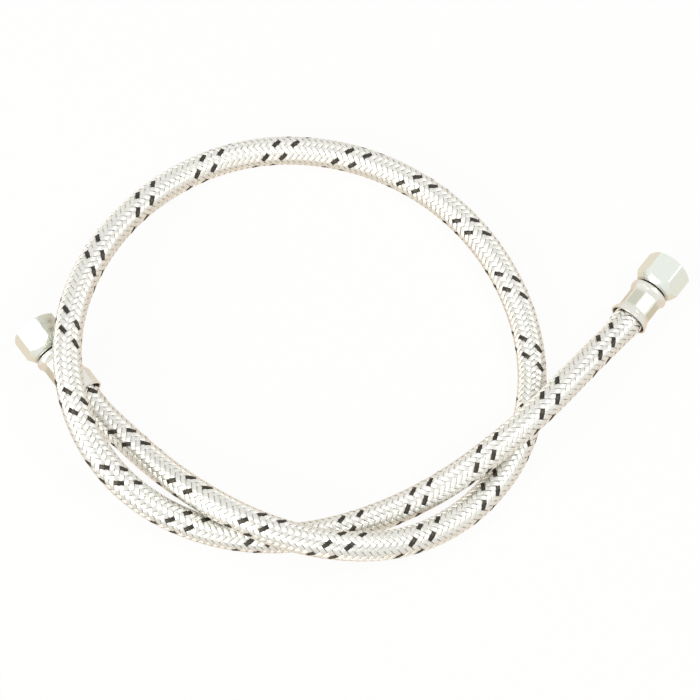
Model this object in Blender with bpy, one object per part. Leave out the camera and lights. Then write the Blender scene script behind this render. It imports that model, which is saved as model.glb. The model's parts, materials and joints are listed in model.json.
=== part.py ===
"""Burner fuel hose, metres, +Z up.

A braided hose of about one metre lies on a flat surface in a loop of almost one and a half
turns. Each end carries a crimped ferrule, an insert pushed into the hose, and a swivel nut
that turns on the insert. The origin is on the surface, under the middle of the two fittings.
"""

from math import asin, cos, pi, radians, sin, sqrt, tan

import bmesh
import bpy
import numpy as np
from mathutils import Matrix, Vector

# Running gap between pieces that touch on the real hose
CLEARANCE = 0.0003

# Hose: steel braid over a rubber liner
HOSE_OUTER_RADIUS = 0.0065
BRAID_WALL = 0.0008
LINER_WALL = 0.0012
CRIMP_SQUEEZE = 0.0005
HOSE_POINT_SPACING = 0.026
HOSE_BEVEL_RESOLUTION = 4

# Ferrule: bell mouth towards the hose, waist of eight pressed flats, round shoulder
FERRULE_RIM_RADIUS = 0.00915
FERRULE_WALL = 0.0009
FERRULE_LIP = 0.0005
FLARE_LENGTH = 0.0045
LEFT_MOUTH_LENGTH = 0.0118
RIGHT_MOUTH_LENGTH = 0.0050
BELL_RADIUS = 0.0089
CRIMP_FLATS = 8
CRIMP_TURN = radians(22.5)
CRIMP_FLAT_DISTANCE = 0.00725
CRIMP_RIDGE_RADIUS = 0.0077
CRIMP_LENGTH = 0.0072
CRIMP_RUNOUT_RADIUS = 0.0030
SHOULDER_RADIUS = 0.0088
SHOULDER_LENGTH = 0.0052
SHOULDER_ROUNDING = 0.0012
FERRULE_END_WALL = 0.0014

# Insert: barbed tail in the liner, groove in the ferrule's end wall, neck, head and cone seat
INSERT_BORE_RADIUS = 0.0024
TAIL_LENGTH = 0.0150
BARB_COUNT = 4
BARB_DEPTH = 0.0003
GROOVE_RADIUS = 0.0042
NECK_RADIUS = 0.0050
HEAD_RADIUS = 0.0072
HEAD_THICKNESS = 0.0020
CONE_BASE_RADIUS = 0.0066
CONE_TIP_RADIUS = 0.0042
CONE_HALF_ANGLE = radians(30)
BORE_CHAMFER = 0.0006

# Swivel nut, 19 mm across flats, for a G 3/8 pipe thread
NUT_ACROSS_FLATS = 0.0190
NUT_LENGTH = 0.0150
NUT_END_WALL = 0.0025
NUT_THREAD_BORE_RADIUS = 0.0075
NUT_THREAD_RELIEF_RADIUS = 0.0084
NUT_THREAD_RELIEF_LENGTH = 0.0020
NUT_MOUTH_CHAMFER = 0.0008
NUT_CHAMFER_ANGLE = radians(30)
NUT_CHAMFER_FACE_RADIUS = 0.0091
NUT_TAPER_HALF_ANGLE = radians(33)
NUT_BACK_FACE_RADIUS = 0.00795
NUT_SLACK = 0.0026
NUT_GAP = 0.0007
LEFT_NUT_TURN = radians(-20)
RIGHT_NUT_TURN = 0.0

# Where the fittings lie
LEFT_RIM_X, LEFT_RIM_Y = -0.1196, -0.0313
RIGHT_RIM_X, RIGHT_RIM_Y = 0.1231, 0.0049
LEFT_HEADING = radians(127.3)
RIGHT_HEADING = radians(52.3)

# Facets round turned pieces
FERRULE_SIDES = 40
INSERT_SIDES = 24
NUT_SIDES = 36

# The hose between the ferrule mouths, from the left one to the right one
HOSE_ROUTE = [
    (-0.1024, -0.0490, 0.0072),
    (-0.0849, -0.0655, 0.0097),
    (-0.0666, -0.0804, 0.0152),
    (-0.0466, -0.0930, 0.0199),
    (-0.0240, -0.1015, 0.0206),
    (-0.0001, -0.1045, 0.0187),
    (0.0228, -0.1003, 0.0126),
    (0.0438, -0.0894, 0.0079),
    (0.0613, -0.0728, 0.0065),
    (0.0735, -0.0520, 0.0065),
    (0.0791, -0.0286, 0.0065),
    (0.0783, -0.0044, 0.0065),
    (0.0720, 0.0189, 0.0065),
    (0.0610, 0.0405, 0.0065),
    (0.0458, 0.0592, 0.0065),
    (0.0268, 0.0742, 0.0065),
    (0.0050, 0.0847, 0.0065),
    (-0.0185, 0.0901, 0.0065),
    (-0.0427, 0.0899, 0.0065),
    (-0.0659, 0.0833, 0.0072),
    (-0.0860, 0.0704, 0.0105),
    (-0.1022, 0.0532, 0.0156),
    (-0.1146, 0.0331, 0.0202),
    (-0.1230, 0.0108, 0.0237),
    (-0.1263, -0.0131, 0.0252),
    (-0.1232, -0.0370, 0.0246),
    (-0.1140, -0.0588, 0.0207),
    (-0.0987, -0.0764, 0.0152),
    (-0.0786, -0.0884, 0.0095),
    (-0.0556, -0.0953, 0.0067),
    (-0.0315, -0.0970, 0.0065),
    (-0.0076, -0.0933, 0.0065),
    (0.0153, -0.0855, 0.0071),
    (0.0369, -0.0757, 0.0115),
    (0.0569, -0.0635, 0.0176),
    (0.0755, -0.0484, 0.0205),
    (0.0924, -0.0311, 0.0191),
    (0.1077, -0.0132, 0.0137),
]

# Lengths that follow from the sizes above
INSERT_NECK_LENGTH = NUT_GAP + NUT_SLACK + NUT_END_WALL + CLEARANCE
CONE_LENGTH = (CONE_BASE_RADIUS - CONE_TIP_RADIUS) / tan(CONE_HALF_ANGLE)


def clear_scene():
    for existing in list(bpy.data.objects):
        bpy.data.objects.remove(existing, do_unlink=True)


def material(name, colour, metallic, roughness):
    """A plain Principled material of one colour."""
    surface = bpy.data.materials.new(name)
    surface.use_nodes = True
    shader = surface.node_tree.nodes["Principled BSDF"]
    shader.inputs["Base Color"].default_value = (*colour, 1.0)
    shader.inputs["Metallic"].default_value = metallic
    shader.inputs["Roughness"].default_value = roughness
    surface.diffuse_color = (*colour, 1.0)
    return surface


def add_object(name, data, parent=None):
    piece = bpy.data.objects.new(name, data)
    bpy.context.scene.collection.objects.link(piece)
    piece.parent = parent
    return piece


def ring_section(name, section, sides, radius_at=None):
    """A bored mesh round +X from a closed section of (distance along X, radius) points."""
    shape = bmesh.new()
    rings = []
    for along, radius in section:
        ring = []
        for side in range(sides):
            angle = 2 * pi * side / sides
            reach = radius_at(along, radius, angle) if radius_at else radius
            ring.append(shape.verts.new((along, reach * sin(angle), reach * cos(angle))))
        rings.append(ring)
    for ring, following in zip(rings, rings[1:] + rings[:1]):
        for side in range(sides):
            beside = (side + 1) % sides
            shape.faces.new((ring[side], ring[beside], following[beside], following[side]))
    return finished_mesh(name, shape)


def finished_mesh(name, shape):
    bmesh.ops.recalc_face_normals(shape, faces=shape.faces)
    mesh = bpy.data.meshes.new(name)
    shape.to_mesh(mesh)
    shape.free()
    mesh.shade_smooth()
    mesh.set_sharp_from_angle(angle=radians(35))
    return mesh


# Ferrule

def ferrule_length(mouth_length):
    return mouth_length + CRIMP_LENGTH + SHOULDER_LENGTH


def flare_radius(share):
    """Radius from the bell (share 0) to the crimped waist (share 1), on a smooth curve."""
    ease = share * share * (3 - 2 * share)
    return BELL_RADIUS + (CRIMP_RIDGE_RADIUS - BELL_RADIUS) * ease


def ferrule_outline(mouth_length):
    """Outer points from the mouth rim to the end face."""
    waist_end = mouth_length + CRIMP_LENGTH
    end = ferrule_length(mouth_length)
    flare_start = mouth_length - FLARE_LENGTH
    points = [(0.0, FERRULE_RIM_RADIUS)]
    points += [(flare_start + FLARE_LENGTH * share, flare_radius(share)) for share in (0.0, 0.25, 0.5, 0.75)]
    points.append((mouth_length, CRIMP_RIDGE_RADIUS))
    points += [(mouth_length + CRIMP_LENGTH * share, CRIMP_RIDGE_RADIUS) for share in (0.12, 0.88)]
    points.append((waist_end, CRIMP_RIDGE_RADIUS))
    rise = SHOULDER_RADIUS - CRIMP_RIDGE_RADIUS
    rise_length = SHOULDER_LENGTH - 2 * SHOULDER_ROUNDING
    points += [(waist_end + rise_length * share, CRIMP_RIDGE_RADIUS + rise * share ** 0.6) for share in (0.4, 0.75)]
    points.append((end - 2 * SHOULDER_ROUNDING, SHOULDER_RADIUS))
    for step in range(4):
        angle = step / 3 * pi / 2
        along = end - SHOULDER_ROUNDING * (1 - sin(angle))
        points.append((along, SHOULDER_RADIUS - SHOULDER_ROUNDING * (1 - cos(angle))))
    return points


def ferrule_cavity(mouth_length):
    """Inner points from the end face's hole back to the mouth."""
    end = ferrule_length(mouth_length)
    hole = GROOVE_RADIUS + CLEARANCE
    grip = HOSE_OUTER_RADIUS - CRIMP_SQUEEZE + CLEARANCE
    flare_start = mouth_length - FLARE_LENGTH
    points = [(end, hole), (end - FERRULE_END_WALL, hole), (end - FERRULE_END_WALL, grip), (mouth_length, grip)]
    bell_inside = BELL_RADIUS - FERRULE_WALL
    points.append((mouth_length - 0.4 * FLARE_LENGTH, 0.5 * (grip + bell_inside)))
    points.append((flare_start, bell_inside))
    points.append((0.0, FERRULE_RIM_RADIUS - FERRULE_LIP))
    return points


def add_ferrule(name, mouth_length, carrier, surface):
    outline = ferrule_outline(mouth_length)
    outer_reach = dict(outline)

    def pressed_radius(along, radius, angle):
        """Radius limited by the eight flats that the crimping jaws leave."""
        if outer_reach.get(along) != radius:
            return radius
        past = max(mouth_length - along, along - mouth_length - CRIMP_LENGTH, 0.0)
        jaw_distance = CRIMP_FLAT_DISTANCE + past * past / (2 * CRIMP_RUNOUT_RADIUS)
        sector = 2 * pi / CRIMP_FLATS
        off_flat = (angle - CRIMP_TURN + sector / 2) % sector - sector / 2
        return min(radius, jaw_distance / cos(off_flat))

    mesh = ring_section(name, outline + ferrule_cavity(mouth_length), FERRULE_SIDES, pressed_radius)
    mesh.materials.append(surface)
    return add_object(name, mesh, carrier)


# Insert

def insert_section(mouth_length):
    """Closed section of the insert, from the tip of its tail to its cone and back through the bore."""
    back = ferrule_length(mouth_length)
    tail_end = back - FERRULE_END_WALL - CLEARANCE
    tail_start = back - TAIL_LENGTH
    tail_radius = HOSE_OUTER_RADIUS - BRAID_WALL - LINER_WALL - CRIMP_SQUEEZE - 2 * CLEARANCE
    barb_pitch = (tail_end - tail_start) / (BARB_COUNT + 1)
    section = [(tail_start, tail_radius - BARB_DEPTH)]
    for barb in range(BARB_COUNT):
        barb_start = tail_start + barb * barb_pitch
        section.append((barb_start + 0.85 * barb_pitch, tail_radius))
        section.append((barb_start + barb_pitch, tail_radius - BARB_DEPTH))
    section.append((tail_end, tail_radius - BARB_DEPTH))
    section.append((tail_end, GROOVE_RADIUS))
    neck_start = back + CLEARANCE
    neck_end = back + INSERT_NECK_LENGTH
    section += [(neck_start, GROOVE_RADIUS), (neck_start, NECK_RADIUS), (neck_end, NECK_RADIUS)]
    head_end = neck_end + HEAD_THICKNESS
    cone_end = head_end + CONE_LENGTH
    section += [(neck_end, HEAD_RADIUS), (head_end, HEAD_RADIUS), (head_end, CONE_BASE_RADIUS)]
    section += [(cone_end, CONE_TIP_RADIUS), (cone_end, INSERT_BORE_RADIUS + BORE_CHAMFER)]
    section += [(cone_end - BORE_CHAMFER, INSERT_BORE_RADIUS), (tail_start, INSERT_BORE_RADIUS)]
    return section


def add_insert(name, mouth_length, carrier, surface):
    mesh = ring_section(name, insert_section(mouth_length), INSERT_SIDES)
    mesh.materials.append(surface)
    return add_object(name, mesh, carrier)


# Swivel nut

def hexagon_prism(name, start, length, across_flats):
    """A solid hexagon along +X with one flat facing -Z."""
    shape = bmesh.new()
    corner = across_flats / sqrt(3)
    ends = []
    for along in (start, start + length):
        angles = [pi / 6 + pi / 3 * side for side in range(6)]
        ends.append([shape.verts.new((along, corner * sin(angle), corner * cos(angle))) for angle in angles])
    shape.faces.new(ends[0])
    shape.faces.new(ends[1])
    for side in range(6):
        beside = (side + 1) % 6
        shape.faces.new((ends[0][side], ends[0][beside], ends[1][beside], ends[1][side]))
    return finished_mesh(name, shape)


def chamfered_bore_section(start):
    """Closed section that the hexagon keeps: tapered back and chamfered front outside, stepped bore inside."""
    end = start + NUT_LENGTH
    corner = NUT_ACROSS_FLATS / sqrt(3) + CLEARANCE
    chamfer = (corner - NUT_CHAMFER_FACE_RADIUS) * tan(NUT_CHAMFER_ANGLE)
    taper = (corner - NUT_BACK_FACE_RADIUS) / tan(NUT_TAPER_HALF_ANGLE)
    collar = NECK_RADIUS + CLEARANCE
    shelf = start + NUT_END_WALL
    relief_end = shelf + NUT_THREAD_RELIEF_LENGTH
    mouth_radius = NUT_THREAD_BORE_RADIUS + NUT_MOUTH_CHAMFER
    return [
        (start, NUT_BACK_FACE_RADIUS),
        (start + taper, corner),
        (end - chamfer, corner),
        (end, NUT_CHAMFER_FACE_RADIUS),
        (end, mouth_radius),
        (end - NUT_MOUTH_CHAMFER, NUT_THREAD_BORE_RADIUS),
        (relief_end, NUT_THREAD_BORE_RADIUS),
        (relief_end, NUT_THREAD_RELIEF_RADIUS),
        (shelf, NUT_THREAD_RELIEF_RADIUS),
        (shelf, collar),
        (start, collar),
    ]


def add_nut(name, start, turn, carrier, surface):
    nut = add_object(name, hexagon_prism(name, start - CLEARANCE, NUT_LENGTH + 2 * CLEARANCE, NUT_ACROSS_FLATS), carrier)
    nut.rotation_euler.x = turn
    nut.data.materials.append(surface)
    keeper = add_object(f"{name}_turning", ring_section(f"{name}_turning", chamfered_bore_section(start), NUT_SIDES), carrier)
    keeper.rotation_euler.x = turn
    keeper.hide_render = True
    keeper.display_type = "WIRE"
    cut = nut.modifiers.new("Turned ends and bore", "BOOLEAN")
    cut.operation = "INTERSECT"
    cut.solver = "EXACT"
    cut.object = keeper
    return nut


# Fittings

def resting_tilt(nut_turn, nut_back):
    """Upward tilt of a fitting that rests on its ferrule rim and on its nut."""
    off_flat = nut_turn % (pi / 3)
    lowest_corner = NUT_ACROSS_FLATS / sqrt(3) * cos(pi / 6 - off_flat)
    return asin((lowest_corner - FERRULE_RIM_RADIUS) / nut_back)


def fitting_frame(name, rim_x, rim_y, heading, tilt):
    """An empty at the ferrule mouth, its +X along the fitting towards the nut."""
    rim_z = FERRULE_RIM_RADIUS * cos(tilt)
    turn = Matrix.Rotation(heading, 4, "Z") @ Matrix.Rotation(-tilt, 4, "Y")
    carrier = add_object(name, None)
    carrier.matrix_world = Matrix.Translation((rim_x, rim_y, rim_z)) @ turn
    return carrier


def outward(heading, tilt):
    return np.array((cos(heading) * cos(tilt), sin(heading) * cos(tilt), sin(tilt)))


# Hose

def smooth_route(points, first_direction, last_direction, steps=24):
    """Points of one smooth cubic curve through the route, with its end directions given."""
    knots = np.array(points)
    chords = np.linalg.norm(np.diff(knots, axis=0), axis=1)
    count = len(knots)
    system = np.eye(count)
    slopes = np.zeros_like(knots)
    slopes[0] = first_direction
    slopes[-1] = last_direction
    for knot in range(1, count - 1):
        before, after = chords[knot - 1], chords[knot]
        system[knot, knot - 1:knot + 2] = after, 2 * (before + after), before
        step_in = (knots[knot] - knots[knot - 1]) * after / before
        step_out = (knots[knot + 1] - knots[knot]) * before / after
        slopes[knot] = 3 * (step_in + step_out)
    slopes = np.linalg.solve(system, slopes)
    curve = []
    for knot in range(count - 1):
        for step in range(steps):
            t = step / steps
            curve.append(
                (1 + 2 * t) * (1 - t) ** 2 * knots[knot]
                + t * t * (3 - 2 * t) * knots[knot + 1]
                + chords[knot] * t * (1 - t) ** 2 * slopes[knot]
                - chords[knot] * t * t * (1 - t) * slopes[knot + 1]
            )
    curve.append(knots[-1])
    return np.array(curve)


def even_points(curve, spacing):
    """Points at equal distances along a curve, both ends included."""
    travelled = np.concatenate(([0.0], np.cumsum(np.linalg.norm(np.diff(curve, axis=0), axis=1))))
    spans = max(2, round(travelled[-1] / spacing))
    stations = np.linspace(0.0, travelled[-1], spans + 1)
    return np.stack([np.interp(stations, travelled, curve[:, axis]) for axis in range(3)], axis=1)


def hose_stations(left_rim, left_out, right_rim, right_out):
    """Centreline points with the share of the crimp's squeeze at each, end to end."""
    route = [tuple(left_rim)] + HOSE_ROUTE + [tuple(right_rim)]
    free = even_points(smooth_route(route, -left_out, right_out), HOSE_POINT_SPACING)
    stations = []
    for depth in gripped_depths(LEFT_MOUTH_LENGTH)[::-1]:
        stations.append((left_rim + left_out * depth, 1.0))
    stations += [(point, 0.0) for point in free]
    for depth in gripped_depths(RIGHT_MOUTH_LENGTH):
        stations.append((right_rim + right_out * depth, 1.0))
    return stations


def gripped_depths(mouth_length):
    """Depths inside a ferrule where the squeezed hose begins and ends."""
    return [mouth_length, ferrule_length(mouth_length) - FERRULE_END_WALL - CLEARANCE]


def add_hose_layer(name, outer_radius, wall, stations, surface):
    """One hollow layer of the hose, as a round curve given a wall."""
    path = bpy.data.curves.new(name, "CURVE")
    path.dimensions = "3D"
    path.bevel_depth = outer_radius
    path.bevel_resolution = HOSE_BEVEL_RESOLUTION
    path.use_fill_caps = False
    spline = path.splines.new("POLY")
    spline.points.add(len(stations) - 1)
    for point, (place, squeeze) in zip(spline.points, stations):
        point.co = (*place, 1.0)
        point.radius = 1 - squeeze * CRIMP_SQUEEZE / outer_radius
    path.materials.append(surface)
    layer = add_object(name, path)
    hollow = layer.modifiers.new("Wall", "SOLIDIFY")
    hollow.thickness = wall
    hollow.offset = -1
    hollow.use_rim = True
    return layer


def build():
    clear_scene()
    braid_steel = material("Braid steel", (0.72, 0.71, 0.68), 0.8, 0.4)
    liner_rubber = material("Liner rubber", (0.03, 0.03, 0.03), 0.0, 0.7)
    ferrule_nickel = material("Ferrule nickel", (0.74, 0.74, 0.70), 0.9, 0.25)
    insert_steel = material("Insert steel", (0.55, 0.55, 0.52), 0.9, 0.35)
    nut_zinc = material("Nut zinc", (0.70, 0.71, 0.67), 0.8, 0.4)

    ends = {
        "left": (LEFT_RIM_X, LEFT_RIM_Y, LEFT_HEADING, LEFT_MOUTH_LENGTH, LEFT_NUT_TURN),
        "right": (RIGHT_RIM_X, RIGHT_RIM_Y, RIGHT_HEADING, RIGHT_MOUTH_LENGTH, RIGHT_NUT_TURN),
    }
    rims = []
    for side, (rim_x, rim_y, heading, mouth_length, nut_turn) in ends.items():
        nut_start = ferrule_length(mouth_length) + NUT_GAP
        tilt = resting_tilt(nut_turn, nut_start)
        carrier = fitting_frame(f"{side}_fitting_frame", rim_x, rim_y, heading, tilt)
        add_ferrule(f"{side}_ferrule", mouth_length, carrier, ferrule_nickel)
        add_insert(f"{side}_insert", mouth_length, carrier, insert_steel)
        add_nut(f"{side}_swivel_nut", nut_start, nut_turn, carrier, nut_zinc)
        rims += [np.array(carrier.matrix_world.translation), outward(heading, tilt)]

    stations = hose_stations(*rims)
    add_hose_layer("hose_braid", HOSE_OUTER_RADIUS, BRAID_WALL, stations, braid_steel)
    liner_radius = HOSE_OUTER_RADIUS - BRAID_WALL - CLEARANCE
    add_hose_layer("hose_liner", liner_radius, LINER_WALL, stations, liner_rubber)


build()
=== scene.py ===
"""Burner fuel hose, in metres: a braided hose in a loop, with a crimped ferrule, an insert
and a swivel nut on each end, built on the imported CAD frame."""

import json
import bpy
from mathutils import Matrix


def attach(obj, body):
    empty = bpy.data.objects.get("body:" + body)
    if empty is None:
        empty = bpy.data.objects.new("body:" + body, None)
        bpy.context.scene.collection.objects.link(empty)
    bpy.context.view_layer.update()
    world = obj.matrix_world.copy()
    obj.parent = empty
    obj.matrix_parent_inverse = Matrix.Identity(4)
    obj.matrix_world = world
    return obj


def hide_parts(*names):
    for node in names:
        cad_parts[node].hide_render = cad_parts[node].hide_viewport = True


bl_info = {
    "name": "Burner Fuel Hose",
    "version": (1, 0, 0),
    "blender": (4, 5, 0),
    "location": "3D Viewport > Sidebar > Fuel Hose",
    "description": "Builds a braided fuel hose with crimped ferrules and swivel nuts",
    "category": "Object",
}

from math import cos, pi, radians, sin, sqrt, tan

import bpy
import numpy as np
from bpy.props import FloatProperty, FloatVectorProperty, IntProperty
from mathutils import Matrix, Vector

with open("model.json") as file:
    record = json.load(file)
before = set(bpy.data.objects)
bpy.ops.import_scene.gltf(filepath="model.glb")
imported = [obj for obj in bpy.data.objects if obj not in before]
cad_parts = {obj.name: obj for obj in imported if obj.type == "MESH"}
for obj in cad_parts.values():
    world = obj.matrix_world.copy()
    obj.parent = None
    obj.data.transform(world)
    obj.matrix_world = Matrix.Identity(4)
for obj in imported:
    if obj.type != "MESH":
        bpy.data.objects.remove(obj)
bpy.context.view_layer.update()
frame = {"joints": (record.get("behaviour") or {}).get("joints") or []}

# The hose between the ferrule mouths, from the left one to the right one, as in the CAD source
HOSE_ROUTE = [
    (-0.1024, -0.0490, 0.0072), (-0.0849, -0.0655, 0.0097), (-0.0666, -0.0804, 0.0152),
    (-0.0466, -0.0930, 0.0199), (-0.0240, -0.1015, 0.0206), (-0.0001, -0.1045, 0.0187),
    (0.0228, -0.1003, 0.0126), (0.0438, -0.0894, 0.0079), (0.0613, -0.0728, 0.0065),
    (0.0735, -0.0520, 0.0065), (0.0791, -0.0286, 0.0065), (0.0783, -0.0044, 0.0065),
    (0.0720, 0.0189, 0.0065), (0.0610, 0.0405, 0.0065), (0.0458, 0.0592, 0.0065),
    (0.0268, 0.0742, 0.0065), (0.0050, 0.0847, 0.0065), (-0.0185, 0.0901, 0.0065),
    (-0.0427, 0.0899, 0.0065), (-0.0659, 0.0833, 0.0072), (-0.0860, 0.0704, 0.0105),
    (-0.1022, 0.0532, 0.0156), (-0.1146, 0.0331, 0.0202), (-0.1230, 0.0108, 0.0237),
    (-0.1263, -0.0131, 0.0252), (-0.1232, -0.0370, 0.0246), (-0.1140, -0.0588, 0.0207),
    (-0.0987, -0.0764, 0.0152), (-0.0786, -0.0884, 0.0095), (-0.0556, -0.0953, 0.0067),
    (-0.0315, -0.0970, 0.0065), (-0.0076, -0.0933, 0.0065), (0.0153, -0.0855, 0.0071),
    (0.0369, -0.0757, 0.0115), (0.0569, -0.0635, 0.0176), (0.0755, -0.0484, 0.0205),
    (0.0924, -0.0311, 0.0191), (0.1077, -0.0132, 0.0137),
]

# How the braid lies on the hose: distance from the left ferrule's mouth, turns that a black
# tracer has made round the hose by there, and the braid's twist there in degrees
BRAID_MARKS = [
    (-0.0120, -1, 30), (0.0215, 0, 31), (0.0600, 1, 30), (0.0980, 2, 26),
    (0.1340, 3, 20), (0.1700, 4, 24), (0.2075, 5, 32), (0.2765, 7, 26),
    (0.3445, 9, 20), (0.3775, 10, 9), (0.4110, 11, 1), (0.4445, 12, -2),
    (0.4790, 13, 6), (0.5150, 14, 19), (0.5540, 15, 23), (0.5920, 16, 20),
    (0.6295, 17, 19), (0.6655, 18, 17), (0.7370, 20, 26), (0.8070, 22, 24),
    (0.8420, 23, 22), (0.8770, 24, 25), (0.9170, 25, 22), (0.9650, 26.2, 24),
]

# Sizes that the CAD source fixes, in metres
CLEARANCE = 0.0003
HOSE_RADIUS = 0.0065
BRAID_WALL = 0.0008
LINER_WALL = 0.0012
CRIMP_SQUEEZE = 0.0005
FERRULE_RIM_RADIUS = 0.00915
FERRULE_WALL = 0.0009
FLARE_LENGTH = 0.0045
CRIMP_LENGTH = 0.0072
CRIMP_RUNOUT_RADIUS = 0.0030
SHOULDER_LENGTH = 0.0052
SHOULDER_ROUNDING = 0.0012
FERRULE_END_WALL = 0.0014
INSERT_BORE_RADIUS = 0.0024
TAIL_LENGTH = 0.0150
BARB_COUNT = 4
BARB_DEPTH = 0.0003
GROOVE_RADIUS = 0.0042
NECK_RADIUS = 0.0050
HEAD_RADIUS = 0.0072
HEAD_THICKNESS = 0.0020
CONE_BASE_RADIUS = 0.0066
CONE_TIP_RADIUS = 0.0042
CONE_HALF_ANGLE = radians(30)
BORE_CHAMFER = 0.0006
NUT_END_WALL = 0.0025
NUT_SLACK = 0.0026
NUT_GAP = 0.0007
NUT_TAPER_HALF_ANGLE = radians(33)
NUT_BACK_FACE_RADIUS = 0.00795
NUT_CHAMFER_ANGLE = radians(30)
NUT_CHAMFER_FACE_RADIUS = 0.0091
NUT_MOUTH_CHAMFER = 0.0008
THREAD_BORE_RADIUS = 0.0075
THREAD_RELIEF_RADIUS = 0.0084
THREAD_RELIEF_LENGTH = 0.0020

ENDS = {
    "left": {"mouth": 0.0118, "nut_turn": radians(-20), "rim": (-0.1196, -0.0313)},
    "right": {"mouth": 0.0050, "nut_turn": 0.0, "rim": (0.1231, 0.0049)},
}

# Details that only the scene has, in metres unless a name says otherwise
EDGE_BREAK = 0.0003
RIM_ROLL_LENGTH = 0.00048
SWELL_REACH = 0.0055
FLAT_EDGE_SOFTNESS = 0.00006
HEXAGON_EDGE_ROUNDING = 0.0005
EASING_STATIONS = 60
SMOOTH_ANGLE = radians(32)

# Radii between a ferrule's inner wall and its outer one, at its rim and at its waist's two ends
INSIDE_LIMITS = (0.0084, 0.0068, 0.0068)

# Section of a wire bundle: shares of its half width and of its half thickness
BUNDLE_CROWN = 1.15
BUNDLE_PROFILE = [(-1, 0), (-0.6, 0.9), (0, BUNDLE_CROWN), (0.6, 0.9), (1, 0), (0.6, -0.9), (-0.6, -0.9)]
WAVE_SHARPNESS = 1.6

# The strand map: wires across each point of a bundle's section, as shares of the bundle's wires,
# its millimetres along from one crossing to the next, and the wires that it counts for a carrier
STRAND_MARKS = [0.0, 0.19, 0.5, 0.81, 1.0, 1.19, 1.81]
STRAND_STEP = 2.26
STRAND_ROOM = 40

# Colours of what isn't a user's choice
BRIGHTEST_METAL = 0.95
# darker, more olive tint that the ferrule's waist takes in uneven patches
WAIST_OLIVE_TINT = (0.72, 0.70, 0.62)
# painted shade on the ferrule's pressed facets
FACET_SHADE_TINT = (0.72, 0.74, 0.63)
BORE_SHADE = (0.42, 0.42, 0.38)
# dark brown of the inside of the ferrule's bell, and its darker spots
BELL_INSIDE_BROWN = (0.36, 0.29, 0.22)
BELL_INSIDE_BROWN_SPOT = (0.22, 0.17, 0.13)
FAR_FLOOR_GLOSS = (0.97, 0.96, 0.93)

# Each soft lamp: name, place, the point it faces, side, share of the lamp power, colour
LAMPS = [
    ("Soft lamp right", (0.80, -0.10, 1.15), (0, 0, 0), 0.5, 1.0, (1.0, 1.0, 0.98)),
    ("Soft lamp left", (-0.78, -0.24, 1.13), (0, 0, 0), 0.5, 0.8, (1.0, 0.99, 0.96)),
    ("Low window light", (-0.98, -0.80, 0.55), (0, 0, 0.02), 0.8, 1.8, (1.0, 0.99, 0.96)),
]
CAMERA_AIM = Vector((-0.0017, -0.0059, 0.0))


def length_setting(name, description, default):
    return FloatProperty(name=name, description=description, default=default, unit="LENGTH")


def colour_setting(name, description, default):
    return FloatVectorProperty(name=name, description=description, default=default, subtype="COLOR")


class HoseSettings(bpy.types.PropertyGroup):
    outer_radius: length_setting("Outer radius", "Radius over the braid", 0.0065)
    liner_radius: length_setting("Liner radius", "Outer radius of the rubber liner", 0.00584)
    liner_bore: length_setting("Liner bore", "Radius of the liner's bore", 0.0042)
    carriers: IntProperty(
        name="Bundles each way", description="Wire bundles that wind in each direction", default=12)
    bundle_share: FloatProperty(
        name="Bundle width", description="Width of a bundle, as a share of the room it has",
        default=0.99, subtype="FACTOR")
    tracer_share: FloatProperty(
        name="Tracer width", description="Width of a tracer bundle, as a share of its room",
        default=0.86, subtype="FACTOR")
    swell: length_setting("Swell", "How far the hose swells where it enters a ferrule", 0.0007)
    bundle_thickness: length_setting("Bundle thickness", "Thickness of a wire bundle", 0.00030)
    wave: length_setting("Weave height", "How far a bundle rises and falls from its middle height", 0.0002)
    wires: IntProperty(
        name="Wires in a bundle", description="Wires that lie side by side in one bundle",
        default=7)
    steel: colour_setting("Wire colour", "Colour of the bright wires", (0.92, 0.912, 0.855))
    tracer: colour_setting("Tracer colour", "Colour of the two tracer bundles", (0.085, 0.075, 0.062))
    rubber: colour_setting("Rubber colour", "Colour of the liner", (0.030, 0.029, 0.027))


class FittingSettings(bpy.types.PropertyGroup):
    waist_radius: length_setting(
        "Waist ridge radius", "Radius of the ridges between the pressed flats", 0.0077)
    flat_distance: length_setting(
        "Pressed flat distance", "Distance of a pressed flat from the axis", 0.00725)
    flats: IntProperty(
        name="Pressed flats", description="Flats that the crimping jaws leave", default=8)
    bell_radius: length_setting("Bell radius", "Radius of the ferrule's open end", 0.0089)
    shoulder_radius: length_setting("Shoulder radius", "Radius of the ferrule's closed end", 0.0088)
    across_flats: length_setting("Nut across flats", "Spanner size of the nut", 0.0190)
    nut_length: length_setting("Nut length", "Length of the nut", 0.0150)
    thread_pitch: length_setting("Thread pitch", "Distance between two turns of the thread", 0.001337)
    thread_depth: length_setting("Thread depth", "Depth of the thread in the nut's bore", 0.00080)
    nickel: colour_setting("Ferrule colour", "Colour of the nickel plate", (0.80, 0.79, 0.73))
    zinc: colour_setting("Nut colour", "Colour of the nut's satin plate", (0.80, 0.84, 0.775))
    insert: colour_setting("Insert colour", "Colour of the turned insert", (0.60, 0.59, 0.53))


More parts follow.
